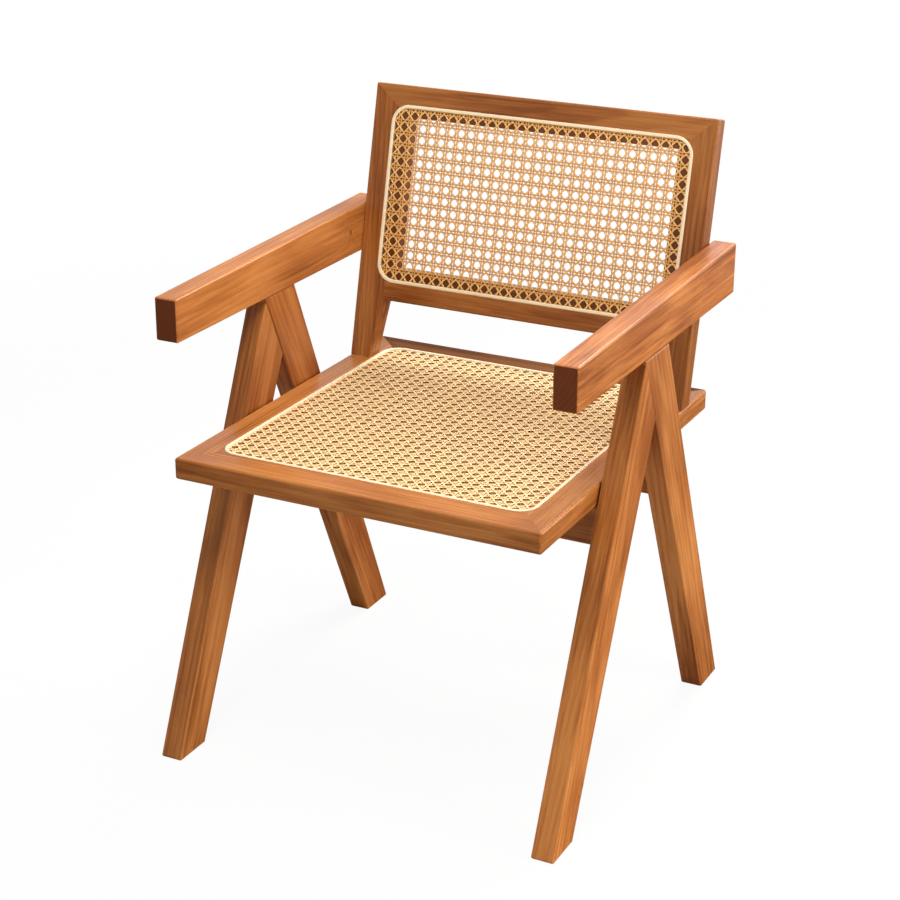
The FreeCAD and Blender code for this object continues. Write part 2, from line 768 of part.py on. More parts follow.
def joint_seats():
    """Where every dowel sits: its joint's middle and its direction, by group."""
    lean = math.radians(number("Sizes.back_lean"))
    rake = math.radians(number("Sizes.leg_rake + Sizes.leg_taper"))
    across = FreeCAD.Vector(1, 0, 0)
    core = number(f"Sizes.back_thick * {core_share}")
    up = FreeCAD.Vector(0, 0, 1)
    leg_middle = number("Sizes.seat_width / 2 + Sizes.side_gap + Sizes.leg_thick / 2")
    face = number("Sizes.seat_width / 2 + Sizes.side_gap / 2")
    seats = {"back_rail": [], "upright_foot": [], "arm_upright": [], "arm_leg": [], "leg_joint": []}
    seats["crossbar"] = []
    for sign in (-1, 1):
        for share in rail_dowel_shares:
            x = number(rail_joint)
            point = on_back(x, number(f"Sizes.back_gap + {bottom_rail} * {share}"), core)
            seats["back_rail"].append((FreeCAD.Vector(point.x * -sign, point.y, point.z), across))
        for share in foot_dowel_shares:
            x = number(f"Sizes.seat_width / 2 - Sizes.upright_foot * {share}")
            y = number(f"{seat_front} + Sizes.back_setback + Sizes.back_thick / 2 / cos(Sizes.back_lean)")
            seats["upright_foot"].append((FreeCAD.Vector(sign * x, y, number("Sizes.seat_height")), up))
        for share in arm_peg_shares:
            height = number(f"Sizes.arm_underside + Sizes.arm_front_height * {share}")
            rise = (height - number("Sizes.seat_height")) / math.cos(lean)
            middle = on_back(0, rise, number("Sizes.back_thick / 2"))
            outer = number("Sizes.seat_width / 2")
            seats["arm_upright"].append((FreeCAD.Vector(sign * outer, middle.y, middle.z), across))
        for share in top_peg_shares:
            y = number(f"{rear_leg_top} + {leg_top_depth} * {share}")
            point = FreeCAD.Vector(sign * leg_middle, y, number("Sizes.arm_underside"))
            seats["arm_leg"].append((point, up))
        for share in leg_joint_shares:
            height = number(f"{fork} + ({tip} - {fork}) * {share}")
            y = number(f"{foot_front} + {foot_spread}") - height * math.tan(rake)
            inward = FreeCAD.Vector(0, math.cos(rake), math.sin(rake))
            seats["leg_joint"].append((FreeCAD.Vector(sign * leg_middle, y, height), inward))
        for y in (front_bar, rear_bar):
            for share in bar_peg_shares:
                height = number(f"{seat_underside} - Sizes.bar_height * {share}")
                point = FreeCAD.Vector(sign * face, number(f"{y} + Sizes.bar_thick / 2"), height)
                seats["crossbar"].append((point, across))
    return seats


def on_side(seats, holes, sign):
    """The holes of a group that lie on one side of the chair."""
    return [hole for (centre, _), hole in zip(seats, holes) if centre.x * sign > 0]


def build():
    """Every sub-part, by the name of its node."""
    seats = joint_seats()
    rails, seat_mitres = seat_rails(seat_frame_blank())
    members, back_mitres = back_members(back_frame_blank())
    seats["seat_mitre"] = mitre_seats(seat_mitres, on_seat)
    core = number(f"Sizes.back_thick * {core_share}")
    seats["back_mitre"] = mitre_seats(back_mitres, lambda x, rise: on_back(x, rise, core))
    parts, holes = {}, {}
    thin, stout = ("Sizes.dowel_radius", "Sizes.dowel_length"), ("Sizes.peg_radius", "Sizes.peg_length")
    heavy = ("arm_upright", "arm_leg", "crossbar")
    for group, places in seats.items():
        label = f"{group}_{'pegs' if group in heavy else 'dowels'}"
        parts[label], holes[group] = dowels(label, places, *(stout if group in heavy else thin))
    parts["seat_screws"], wells = seat_screws()

    for index, name in enumerate(rails):
        first, second = index * 2, (index + 1) % 4 * 2
        tools = holes["seat_mitre"][first:first + 2] + holes["seat_mitre"][second:second + 2]
        for side, sign in (("left", -1), ("right", 1)):
            if side in name:
                tools += on_side(seats["upright_foot"], holes["upright_foot"], sign)
                tools += [well for (_, where), well in wells.items() if where == side]
        parts[name] = without(name, rails[name], tools)

    parts["back_top_rail"] = without("back_top_rail", members["back_top_rail"], holes["back_mitre"])
    parts["back_bottom_rail"] = without("back_bottom_rail", members["back_bottom_rail"], holes["back_rail"])
    for side, sign in (("left", -1), ("right", 1)):
        gap = "Sizes.seat_width / 2 + Sizes.side_gap"
        leg_x = gap if sign > 0 else f"-({gap}) - Sizes.leg_thick"
        arm_x = "Sizes.seat_width / 2" if sign > 0 else f"-Sizes.seat_width / 2 - {arm_thick}"
        mine = {group: on_side(seats[group], holes[group], sign) for group in holes}
        upright = ("back_mitre", "back_rail", "upright_foot", "arm_upright")
        name = f"{side}_upright"
        parts[name] = without(name, members[name], [hole for group in upright for hole in mine[group]])
        name = f"{side}_arm"
        parts[name] = without(name, arm(name, arm_x), mine["arm_upright"] + mine["arm_leg"])
        name = f"{side}_rear_leg"
        rear_pegs = [hole for hole in mine["crossbar"] if hole.Placement.Base.y > 0]
        parts[name] = without(name, rear_leg(name, leg_x), mine["arm_leg"] + mine["leg_joint"] + rear_pegs)
        name = f"{side}_front_leg"
        front_pegs = [hole for hole in mine["crossbar"] if hole.Placement.Base.y < 0]
        parts[name] = without(name, front_leg(name, leg_x), mine["leg_joint"] + front_pegs)
    for name, y, half in (("front_crossbar", front_bar, -1), ("rear_crossbar", rear_bar, 1)):
        pegs = [hole for hole in holes["crossbar"] if hole.Placement.Base.y * half > 0]
        bar_wells = [well for (bar, _), well in wells.items() if bar == name]
        parts[name] = without(name, crossbar(name, y), pegs + bar_wells)

    seat_face = ("-Sizes.seat_width / 2", seat_front, "Sizes.seat_height")
    parts["seat_board"] = seat_board()
    parts["seat_cane"] = cane("seat_cane", seat_loop, number("Sizes.seat_net_pitch"), seat_face)
    parts["back_cane"] = cane("back_cane", back_loop, number("Sizes.back_net_pitch"), back_spot)
    rear_run = f"{seat_loop[3]} - Sizes.spline_width - Sizes.overrun"
    low_run = f"{back_loop[1]} - Sizes.overrun"
    parts["seat_spline"] = spline("seat_spline", seat_loop, seat_face, [("Sizes.seat_width / 2", rear_run)])
    joints = [(f"Sizes.seat_width * {share}", low_run) for share in spline_joint_shares]
    parts["back_spline"] = spline("back_spline", back_loop, back_spot, joints)
    return parts


def check(parts):
    """Stop before anything is written if an object failed or a shape isn't sound."""
    for item in doc.Objects:
        if "Invalid" in item.State or "Error" in item.State:
            raise ValueError(f"{item.Name} failed: {item.State}")
    for name, piece in parts.items():
        if piece.Shape.isNull() or not piece.Shape.isValid() or not piece.Shape.Solids:
            raise ValueError(f"{name} has no sound shape")


def write(parts):
    os.makedirs("parts", exist_ok=True)
    for name, piece in parts.items():
        piece.Label = name
        piece.Shape.exportStep(f"parts/{name}.step")
        print(name, "solids", len(piece.Shape.Solids), "volume", round(piece.Shape.Volume))


pieces = build()
doc.recompute()
check(pieces)
write(pieces)
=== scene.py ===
import bpy
import bmesh
import math
import random
from mathutils import Matrix, Vector


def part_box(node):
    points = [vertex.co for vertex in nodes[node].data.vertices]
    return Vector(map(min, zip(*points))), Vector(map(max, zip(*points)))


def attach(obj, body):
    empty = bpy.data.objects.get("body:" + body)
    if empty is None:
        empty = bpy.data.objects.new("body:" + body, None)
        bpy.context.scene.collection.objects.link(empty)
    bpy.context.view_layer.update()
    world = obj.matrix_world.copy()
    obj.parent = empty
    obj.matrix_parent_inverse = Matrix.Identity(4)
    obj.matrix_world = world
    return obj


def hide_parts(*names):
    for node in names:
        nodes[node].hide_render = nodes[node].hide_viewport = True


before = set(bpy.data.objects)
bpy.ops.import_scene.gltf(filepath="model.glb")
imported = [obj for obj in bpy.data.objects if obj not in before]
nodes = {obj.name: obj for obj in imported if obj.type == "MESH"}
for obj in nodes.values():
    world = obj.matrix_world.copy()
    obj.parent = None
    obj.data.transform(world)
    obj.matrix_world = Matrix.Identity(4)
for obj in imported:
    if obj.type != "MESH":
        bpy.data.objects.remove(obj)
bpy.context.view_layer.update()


# Leg frames, arms, crossbars, seat frame and back frame.
# All are planks of the same orange-brown hardwood, planed, eased at their edges and finished with a thin
# satin oil, so the pores and the long figure stay visible and the end grain drinks in more and is darker.
class Socket:
    """A value or a colour in a material, with arithmetic."""

    def __init__(self, tree, output):
        self.tree, self.output = tree, output

    def maths(self, operation, first, second=None, clamp=False):
        node = self.tree.nodes.new("ShaderNodeMath")
        node.operation, node.use_clamp = operation, clamp
        for place, value in enumerate((first, second)):
            plug(self.tree, node.inputs[place], value)
        return Socket(self.tree, node.outputs[0])

    def __add__(self, other):
        return self.maths("ADD", self, other)

    def __mul__(self, other):
        return self.maths("MULTIPLY", self, other)

    __radd__, __rmul__ = __add__, __mul__

    def __sub__(self, other):
        return self.maths("SUBTRACT", self, other)

    def __rsub__(self, other):
        return self.maths("SUBTRACT", other, self)

    def clamped(self):
        return self.maths("ADD", self, 0.0, clamp=True)

    def power(self, exponent):
        return self.maths("POWER", self, exponent)

    def absolute(self):
        return self.maths("ABSOLUTE", self)

    def fraction(self):
        return self.maths("FRACT", self)

    def highest(self, other):
        return self.maths("MAXIMUM", self, other)


def plug(tree, place, value):
    """Link a socket to an input, or set the input to a plain value."""
    if isinstance(value, Socket):
        tree.links.new(value.output, place)
    elif value is not None:
        place.default_value = value


class Recipe:
    """The nodes of a material or of the world, and the one way that they are made."""

    def __init__(self, tree):
        self.tree = tree

    def node(self, kind, settings=None, take=0, **sockets):
        """A node of one kind: its settings go on first, a ramp's stops among them, then its sockets."""
        made = self.tree.nodes.new(kind)
        for name, value in (settings or {}).items():
            if name == "stops":
                ramp = made.color_ramp
                while len(ramp.elements) < len(value):
                    ramp.elements.new(0.5)
                for element, (place, shade) in zip(ramp.elements, value):
                    element.position = place
                    element.color = (*shade, 1.0)
            else:
                setattr(made, name, value)
        for name, value in sockets.items():
            key = int(name[2:]) if name.startswith("at") else name.replace("_", " ")
            plug(self.tree, made.inputs[key], value)
        outputs = [output for output in made.outputs if output.enabled]
        return Socket(self.tree, outputs[take])

    def spot(self):
        """Where a point is, in metres: Texture Coordinate's Object output."""
        return self.node("ShaderNodeTexCoord", take=3)

    def facing(self):
        """Which way the surface looks: Geometry's True Normal output."""
        return self.node("ShaderNodeNewGeometry", take=3)

    def ray(self, kind):
        """1 where a ray is of this kind: one of Light Path's outputs."""
        return self.node("ShaderNodeLightPath", take={"camera": 0, "glossy": 3, "transmission": 6}[kind])

    def parts(self, vector):
        return [self.node("ShaderNodeSeparateXYZ", take=axis, Vector=vector) for axis in range(3)]

    def mix(self, share, first, second):
        colours = [value if isinstance(value, Socket) else (*value, 1.0) for value in (first, second)]
        return self.node("ShaderNodeMix", {"data_type": "RGBA"}, at0=share, at6=colours[0], at7=colours[1])

    def noise(self, vector, scale, detail=3.0, roughness=0.55, distortion=0.0):
        return self.node("ShaderNodeTexNoise", Vector=vector, Scale=scale, Detail=detail,
                         Roughness=roughness, Distortion=distortion)

    def between(self, value, start, stop, low=0.0, high=1.0, smooth=False):
        """A value rescaled: low up to its start, high from its stop on, and a slope between them."""
        settings = {"interpolation_type": "SMOOTHSTEP" if smooth else "LINEAR"}
        return self.node("ShaderNodeMapRange", settings, Value=value, From_Min=start, From_Max=stop,
                         To_Min=low, To_Max=high)

    def bump(self, height, strength, distance):
        return self.node("ShaderNodeBump", Strength=strength, Distance=distance, Height=height)


class Finish(Recipe):
    """A material on one principled shader."""

    def __init__(self, name):
        self.material = bpy.data.materials.new(name)
        self.material.use_nodes = True
        super().__init__(self.material.node_tree)
        self.shader = self.tree.nodes["Principled BSDF"]

    def finish(self, **sockets):
        for name, value in sockets.items():
            plug(self.tree, self.shader.inputs[name.replace("_", " ")], value)
        return self.material


def dress(name, material):
    """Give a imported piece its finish."""
    slots = nodes[name].data.materials
    slots.clear()
    slots.append(material)


def times(colour, red, green=None, blue=None):
    """A colour times one number, or times one for each channel."""
    factors = (red, red if green is None else green, red if blue is None else blue)
    return tuple(value * factor for value, factor in zip(colour, factors))


rings_per_metre = 170.0
wood_gloss = 0.25


def oiled_wood(name, middle, turn, length_axis, shade, seed, rebate_shade=None, knot=None, gloss=wood_gloss):
    """Plank wood whose figure runs along one axis of the plank, after the plank is turned straight."""
    wood = Finish(name)
    dark, mid, light = shade
    spot = wood.spot()
    straight = wood.node("ShaderNodeMapping", {"vector_type": "TEXTURE"}, Vector=spot, Location=middle,
                         Rotation=turn)
    sides = wood.parts(straight)
    along = sides.pop(length_axis)
    chance = random.Random(seed)

    def figure(squeeze, shift, *look):
        """Noise that is drawn out along the grain."""
        scale = [1.0, 1.0, 1.0]
        scale[length_axis] = squeeze
        move = (seed + shift, seed * 1.7 - shift, seed * 0.6 + shift)
        drawn = wood.node("ShaderNodeMapping", Vector=straight, Location=move, Scale=tuple(scale))
        return wood.noise(drawn, *look)

    # squeeze along the grain and shift, then the noise's scale, detail, roughness and distortion
    broad = figure(0.28, 0.0, 15.0, 1.0, 0.4, 0.3)
    cloud = figure(0.2, 3.1, 60.0, 2.0, 0.5, 0.3)
    band = figure(0.012, 2.7, 190.0, 2.0, 0.5, 0.1)
    fibre = figure(0.03, 1.3, 560.0, 3.0, 0.6, 0.1)
    streak = figure(0.012, 5.7, 260.0, 1.0, 0.5, 0.1)
    pore = figure(0.05, 4.9, 1500.0, 2.0, 0.6, 0.0)

    # growth rings: the plank is sawn a little off the tree's axis, so that they draw long arcs along it
    heart_side = chance.uniform(0.05, 0.09) * chance.choice((-1, 1))
    heart_depth = chance.uniform(0.02, 0.05)
    from_side = sides[0] - heart_side + along * chance.uniform(-0.05, 0.05)
    from_depth = sides[1] - heart_depth + along * chance.uniform(-0.08, 0.08)
    radius = (from_side * from_side + from_depth * from_depth).power(0.5)
    turns = radius * rings_per_metre + cloud * 0.6 + broad * 1.2
    if knot:
        # the rings bend round a knot, and its core is dark
        knot_middle, knot_radius = knot
        away = wood.node("ShaderNodeVectorMath", {"operation": "DISTANCE"}, at0=spot, at1=knot_middle)
        turns = turns + wood.between(away, knot_radius * 6, knot_radius, smooth=True) * 1.6
        knot_core = wood.between(away + fibre * 0.001, knot_radius * 1.3, knot_radius * 0.7)
    turns = turns.fraction()
    late_wood = wood.between(turns, 0.15, 0.8, smooth=True)
    early_wood = wood.between(turns, 0.8, 1.0, smooth=True)
    ring = (late_wood - early_wood).clamped()

    tone = ((broad - 0.5) * 1.1 + (cloud - 0.5) * 0.5 + (band - 0.5) * 0.7 + (fibre - 0.5) * 0.6
            + 0.54 - ring * 0.12)
    colour = wood.node("ShaderNodeValToRGB", {"stops": [(0.2, dark), (0.5, mid), (0.82, light)]}, Fac=tone)
    # dark streaks in groups, and open pores
    streaked_part = wood.between(broad, 0.58, 0.42, low=0.1)
    line = wood.between(streak, 0.56, 0.68, high=0.6)
    colour = wood.mix(line * streaked_part, colour, times(dark, 0.6))
    colour = wood.mix((0.42 - pore).clamped() * 1.6, colour, times(dark, 0.6))

    # the true normal in the plank's own frame tells its faces, its eased edges and its ends apart
    facing = wood.facing()
    turned = wood.node("ShaderNodeVectorRotate", {"rotation_type": "EULER_XYZ", "invert": True},
                       Vector=facing, Rotation=turn)
    faces = [part.absolute() for part in wood.parts(turned)]
    flat = faces[0].highest(faces[1]).highest(faces[2])
    # the eased edges are painted lighter: partly wear, partly a painted highlight where they catch the light
    wear_and_highlight = wood.between(flat, 0.985, 0.9, high=0.12)
    colour = wood.mix(wear_and_highlight * (cloud + 0.4), colour, times(light, 1.25))
    end = wood.between(faces[length_axis], 0.9, 0.97)
    fleck = wood.noise(straight, 700.0, 3.0, 0.7)
    end_tone = (fleck * 0.5 + ring * 0.2 + cloud * 0.3).clamped()
    end_colour = wood.mix(end_tone, times(dark, 0.3, 0.22, 0.15), times(dark, 0.62, 0.5, 0.36))
    colour = wood.mix(end, colour, end_colour)
    if knot:
        colour = wood.mix(knot_core * 0.6, colour, times(dark, 0.25))
    if rebate_shade:
        # painted shade: the ledge under the cane and the opening's inner faces are darkened for the shade
        # that falls in the recess behind the cane
        outward, upward, rebate_middle, half_width, half_height = rebate_shade
        soft_edge = 0.0002

        def measured(vector, way):
            return wood.node("ShaderNodeVectorMath", {"operation": "DOT_PRODUCT"}, at0=vector, at1=way)

        level, rise = (sum(a * b for a, b in zip(way, rebate_middle)) for way in (outward, upward))
        deep = wood.between(level - measured(spot, outward), 0.0010, 0.0014)
        off_middle = measured(spot, (1.0, 0.0, 0.0)).absolute()
        off_height = (measured(spot, upward) - rise).absolute()
        across = wood.between(off_middle, half_width + soft_edge, half_width)
        high = wood.between(off_height, half_height + soft_edge, half_height)
        looks_out = measured(facing, outward)
        painted_recess_shade = deep * across * high * wood.between(looks_out, -0.7, -0.5)
        on_ledge = wood.between(looks_out, 0.9, 0.95)
        colour = wood.mix(painted_recess_shade * (0.5 + on_ledge * 0.25), colour, times(dark, 0.3))
    rough = 0.36 + (fibre - 0.5) * 0.25 + (cloud - 0.5) * 0.15 + end * 0.2
    bump = wood.bump(fibre * 0.5 + pore * 0.4 + ring * 0.1, 0.2, 0.0005)
    return wood.finish(Base_Color=colour, Roughness=rough, Normal=bump, Specular_IOR_Level=gloss)


def tone_of(strength, red=1.0):
    """The wood's dark, middle and light colours for one plank, each a little brighter or darker: partly the
    planks' own differences, partly painted light and shade for how the light falls on each.
    """
    base = [(0.27, 0.073, 0.012), (0.43, 0.140, 0.028), (0.59, 0.225, 0.056)]
    return [(r * strength * red, g * strength, b * strength / red) for r, g, b in base]


# the back leans, and the grain of a leg follows its middle line, as its two edges spread upward
back_lean = math.radians(13)
leg_rake = math.radians(24.5)
back_setback = 0.440
(_, seat_front_y, _), (_, _, seat_top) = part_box("seat_front_rail")
back_outward = (0.0, -math.cos(back_lean), math.sin(back_lean))
back_upward = (0.0, math.sin(back_lean), math.cos(back_lean))
# the cane of the back inside its spline: how far up the frame it starts, and its width and height
back_cane_rise = 0.112
back_cane_size = (0.428, 0.234)
rebate_margin = 0.001
back_foot = (0.0, seat_front_y + back_setback, seat_top)
back_cane_middle = tuple(foot + way * (back_cane_rise + back_cane_size[1] / 2)
                         for foot, way in zip(back_foot, back_upward))
back_frame = {"rebate_shade": (back_outward, back_upward, back_cane_middle,
                         *(size / 2 + rebate_margin for size in back_cane_size))}
unturned, leaning = (0, 0, 0), (-back_lean, 0, 0)
front_leg, rear_leg = (-leg_rake, 0, 0), (leg_rake, 0, 0)
# how each plank is turned, the axis of its length, its tone and what else is particular to it
planks = {
    "left_front_leg": (front_leg, 2, tone_of(0.82), {}),
    "right_front_leg": (front_leg, 2, tone_of(0.93), {"knot": ((0.2785, -0.1986, 0.0648), 0.0035)}),
    "left_rear_leg": (rear_leg, 2, tone_of(0.84, 1.02), {}),
    "right_rear_leg": (rear_leg, 2, tone_of(0.82), {}),
    "left_arm": (unturned, 1, tone_of(0.86), {"knot": ((-0.247, 0.1782, 0.5918), 0.004)}),
    "right_arm": (unturned, 1, tone_of(0.95), {}),
    "front_crossbar": (unturned, 0, tone_of(0.95), {}),
    "rear_crossbar": (unturned, 0, tone_of(1.0), {}),
    "seat_front_rail": (unturned, 0, tone_of(0.79), {"knot": ((0.2304, -0.227, 0.418), 0.004)}),
    # painted shadow: the seat's rear rail is made much darker than the other planks for the shadow that the
    # back casts over it, and has almost no sheen
    "seat_rear_rail": (unturned, 0, tone_of(0.34), {"gloss": 0.02}),
    "seat_left_rail": (unturned, 1, tone_of(0.8), {}),
    "seat_right_rail": (unturned, 1, tone_of(0.78), {}),
    "left_upright": (leaning, 2, tone_of(0.66, 1.02), back_frame),
    "right_upright": (leaning, 2, tone_of(0.6), back_frame),
    "back_top_rail": (leaning, 0, tone_of(0.64), back_frame),
    "back_bottom_rail": (leaning, 0, tone_of(0.6, 1.02), back_frame),
}
first_seed, seed_step = 0.37, 1.31
for order, (name, (turn, length_axis, shade, extras)) in enumerate(planks.items()):
    middle = tuple((a + b) / 2 for a, b in zip(*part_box(name)))
    seed = first_seed + order * seed_step
    dress(name, oiled_wood(f"{name}_wood", middle, turn, length_axis, shade, seed, **extras))


# Dowels, pegs and screws.
# Turned beech dowels glued in blind holes, and four plain steel screws that draw the seat frame down on the
# crossbars. Only the screws' heads can be seen, up in their wells.
def raw_dowel():
    beech = Finish("raw_beech")
    fibre = beech.noise(beech.spot(), 240.0)
    colour = beech.mix(fibre, (0.42, 0.25, 0.12), (0.62, 0.42, 0.23))
    return beech.finish(Base_Color=colour, Roughness=0.55 + fibre * 0.15,
                        Normal=beech.bump(fibre, 0.2, 0.0004))


def screw_steel():
    steel = Finish("zinc_steel")
    spangle = steel.noise(steel.spot(), 600.0, 4.0, 0.7)
    colour = steel.mix(spangle, (0.42, 0.42, 0.43), (0.62, 0.62, 0.6))
    return steel.finish(Base_Color=colour, Roughness=0.3 + spangle * 0.2, Metallic=1.0)


beech, steel = raw_dowel(), screw_steel()
for name in nodes:
    if name.endswith(("_dowels", "_pegs", "_screws")):
        dress(name, steel if name == "seat_screws" else beech)


# Board under the seat cane.
# A thin plywood panel, stained brown, dropped into a rebate of the seat frame just under the cane.
def stained_board():
    stain = Finish("stained_board")
    drawn = stain.node("ShaderNodeMapping", Vector=stain.spot(), Scale=(1.0, 0.08, 1.0))
    veneer = stain.noise(drawn, 90.0, 4.0, 0.6, 0.5)
    colour = stain.mix(veneer, (0.30, 0.14, 0.05), (0.52, 0.29, 0.12))
    return stain.finish(Base_Color=colour, Roughness=0.55 + veneer * 0.15,
                        Normal=stain.bump(veneer, 0.15, 0.0004))


dress("seat_board", stained_board())


# Cane of the back and of the seat.
# Machine-woven six-way cane: doubled strands across and along, and single strands on both diagonals, all of
# glossy rattan skin, laid over the frame and pressed into its groove by the spline.
strand_thick = 0.0004
strand_lift = 0.00025
cane_drop = 0.0004
cane_corner = 0.021
tuck = 0.0012
cell_steps = 4


def rattan_skin(name, light, dark):
    skin = Finish(name)
    on_strand = skin.node("ShaderNodeUVMap", {"uv_map": "strand"})
    side = skin.parts(on_strand)[1]
    fibres = skin.noise(on_strand, 9.0, 2.0, 0.6)
    patch = skin.noise(skin.spot(), 46.0, 3.0, 0.6)
    # painted shade: each strand darkens towards its edges, where it rounds over
    edge_shade = ((side - 0.5).absolute() * 2.0).power(3.0)
    colour = skin.mix(patch * 0.7 + fibres * 0.3, dark, light)
    colour = skin.mix(edge_shade * 0.85, colour, times(dark, 0.62, 0.42, 0.26))
    return skin.finish(Base_Color=colour, Roughness=0.3 + fibres * 0.2, Specular_IOR_Level=0.5,
                       Normal=skin.bump(fibres, 0.25, 0.0002))


def wave(middle, swing, period, start=0.0):
    """The height of a strand after a run along it, which swings about its middle once in each period."""
    return lambda run: middle - swing * math.cos(math.tau * (run / period - start))


def lay(weave, length, width, steps, height, turn, start, count, step):
    """Strands side by side: the first is crowned, turned and moved to its start, and the rest follow it."""
    made = bmesh.ops.create_grid(weave, x_segments=steps, y_segments=2, size=0.5, calc_uvs=True)["verts"]
    for vertex in made:
        run, across = (vertex.co.x + 0.5) * length, vertex.co.y
        vertex.co = Vector((run, across * width, height(run) - abs(across) * strand_thick))
    bmesh.ops.rotate(weave, verts=made, matrix=Matrix.Rotation(turn, 3, "Z"))
    bmesh.ops.translate(weave, verts=made, vec=start)
    faces = dict.fromkeys(face for vertex in made for face in vertex.link_faces)
    geometry = list(dict.fromkeys(item for face in faces for item in (face, *face.edges, *face.verts)))
    for index in range(1, count):
        copied = bmesh.ops.duplicate(weave, geom=geometry)["geom"]
        verts = [item for item in copied if isinstance(item, bmesh.types.BMVert)]
        bmesh.ops.translate(weave, verts=verts, vec=step * index)


def trim(weave, width, height, corner):
    """Cut the strands off at the groove: four straight sides and the rounded corners."""
    cuts = [((0, 0), (-1, 0)), ((width, 0), (1, 0)), ((0, 0), (0, -1)), ((0, height), (0, 1))]
    for sign_x, x in ((-1, corner), (1, width - corner)):
        for sign_y, y in ((-1, corner), (1, height - corner)):
            for share in (0.25, 0.5, 0.75):
                turn = math.pi / 2 * share
                away = (sign_x * math.cos(turn), sign_y * math.sin(turn))
                cuts.append(((x + away[0] * corner, y + away[1] * corner), away))
    for point, away in cuts:
        bmesh.ops.bisect_plane(weave, geom=weave.verts[:] + weave.edges[:] + weave.faces[:], dist=1e-7,
                               plane_co=(*point, 0), plane_no=(*away, 0), clear_outer=True)


def woven(name, node, panel, low, size, pitch, phase, strands, skins):
    """The strands of one panel, from the low corner and size of the cane that shows inside the spline."""
    pair_half, pair_width, diagonal_width = strands
    width, height = (length + 2 * tuck for length in size)
    pitch_x, pitch_y = pitch
    phase_x, phase_y = (share + tuck / length for share, length in zip(phase, pitch))
    place = panel @ Matrix.Translation((low[0] - tuck, low[1] - tuck, -cane_drop - strand_lift * 2))
    layers = {"across": bmesh.new(), "along": bmesh.new(), "diagonal": bmesh.new()}
    for weave in layers.values():
        weave.loops.layers.uv.new("strand")
    columns, rows = math.ceil(width / pitch_x) + 1, math.ceil(height / pitch_y) + 1
    first_x, first_y = (phase_x - 1.5) * pitch_x, (phase_y - 1.5) * pitch_y
    next_column, next_row = Vector((pitch_x, 0, 0)), Vector((0, pitch_y, 0))
    flat = wave(0.0, 0.0, pitch_x)
    for side in (-1, 1):
        lay(layers["across"], width, pair_width, columns * cell_steps, flat, 0.0,
            (0, first_y + side * pair_half, 0), rows + 2, next_row)
        half_lift = side * strand_lift * 0.5
        lay(layers["along"], height, pair_width, rows * cell_steps,
            wave(half_lift, half_lift, pitch_y, phase_y), math.pi / 2,
            (first_x + side * pair_half, 0, 0), columns + 2, next_column)
    cell_diagonal = math.hypot(pitch_x, pitch_y)
    slant = math.atan2(pitch_y, pitch_x)
    for side in (1, -1):
        start_y = first_y if side > 0 else first_y + (rows + 1) * pitch_y
        lay(layers["diagonal"], (rows + 1) * cell_diagonal, diagonal_width, (rows + 1) * cell_steps,
            wave(side * strand_lift * 0.5, strand_lift * 1.5, cell_diagonal), side * slant,
            (first_x - (rows + 2.5) * pitch_x, start_y, 0), columns + rows + 6, next_column)
    for layer, weave in layers.items():
        trim(weave, width, height, cane_corner + tuck)
        bmesh.ops.transform(weave, matrix=place, verts=weave.verts)
        mesh = bpy.data.meshes.new(f"{name}_{layer}")
        weave.to_mesh(mesh)
        weave.free()
        mesh.materials.append(skins[layer])
        for polygon in mesh.polygons:
            polygon.use_smooth = True
        piece = bpy.data.objects.new(mesh.name, mesh)
        bpy.context.scene.collection.objects.link(piece)
        thickness = piece.modifiers.new("thickness", "SOLIDIFY")
        thickness.thickness, thickness.offset = strand_thick, -1.0
        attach(piece, "root")
        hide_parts(node)


# the two frames are equally wide, and a panel's matrix holds its frame's low left corner and its slope
frame_half_width = 0.247
back_panel = (Matrix.Translation((-frame_half_width, seat_front_y + back_setback, seat_top))
              @ Matrix.Rotation(math.pi / 2 - back_lean, 4, "X"))
seat_panel = Matrix.Translation((-frame_half_width, seat_front_y, seat_top))
# the back's and the seat's cane are one rattan: the back's copy is painted darker and more orange, the
# seat's paler, as painted shade and light for how each panel is lit; the diagonal strands on top are painted
# paler as a painted highlight
back_skins = {
    "across": rattan_skin("back_rattan_across", (0.74, 0.41, 0.13), (0.54, 0.245, 0.052)),
    "along": rattan_skin("back_rattan_along", (0.72, 0.39, 0.125), (0.52, 0.235, 0.05)),
    "diagonal": rattan_skin("back_rattan_diagonal", (0.90, 0.56, 0.22), (0.71, 0.375, 0.10)),
}
seat_skins = {
    "across": rattan_skin("seat_rattan_across", (0.93, 0.68, 0.355), (0.79, 0.52, 0.22)),
    "along": rattan_skin("seat_rattan_along", (0.90, 0.65, 0.325), (0.75, 0.485, 0.205)),
    "diagonal": rattan_skin("seat_rattan_diagonal", (0.95, 0.80, 0.49), (0.87, 0.65, 0.335)),
}
# the low corner and size of the cane, a cell's width and height, how far into a cell the weave starts, and
# the strands: half a pair's spacing, a paired strand's width and a diagonal one's
woven("back_weave", "back_cane", back_panel, (0.033, back_cane_rise), back_cane_size, (0.01457, 0.01563),
      (1.02, 0.34), (0.00179, 0.0019, 0.0021), back_skins)
woven("seat_weave", "seat_cane", seat_panel, (0.039, 0.048), (0.416, 0.443), (0.0145, 0.01449),
      (0.47, 0.28), (0.00182, 0.0018, 0.0021), seat_skins)


